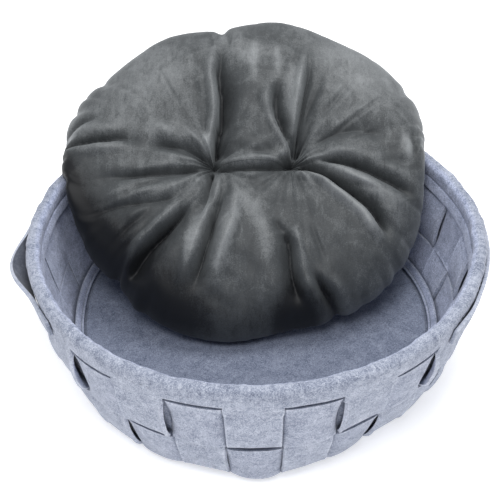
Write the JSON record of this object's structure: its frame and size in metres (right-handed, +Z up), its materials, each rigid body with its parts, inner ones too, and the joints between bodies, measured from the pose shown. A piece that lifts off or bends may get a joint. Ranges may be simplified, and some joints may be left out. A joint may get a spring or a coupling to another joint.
{
  "type": "dog bed basket with cushion",
  "caption": "Round dog bed: a basket woven from thick felt strips with a rolled rim and strap handles, and a loose tufted velvet cushion leaning in it, its back edge over the rim.",
  "frame": {"origin": "centre of the basket's flat underside, on the floor it stands on", "axes": "+Z up, +X to the right and the front towards -Y; the cushion rises towards +Y"},
  "size_m": [0.4805, 0.4995, 0.2476],
  "materials": {
    "felt": "matte",
    "velvet": "soft sheen"
  },
  "bodies": {
    "root": {"wall": "felt", "band_upper": "felt", "band_lower": "felt", "floor": "felt", "floor_edge": "felt", "handle_left": "felt", "handle_right": "felt", "cushion": "velvet"}
  },
  "joints": []
}
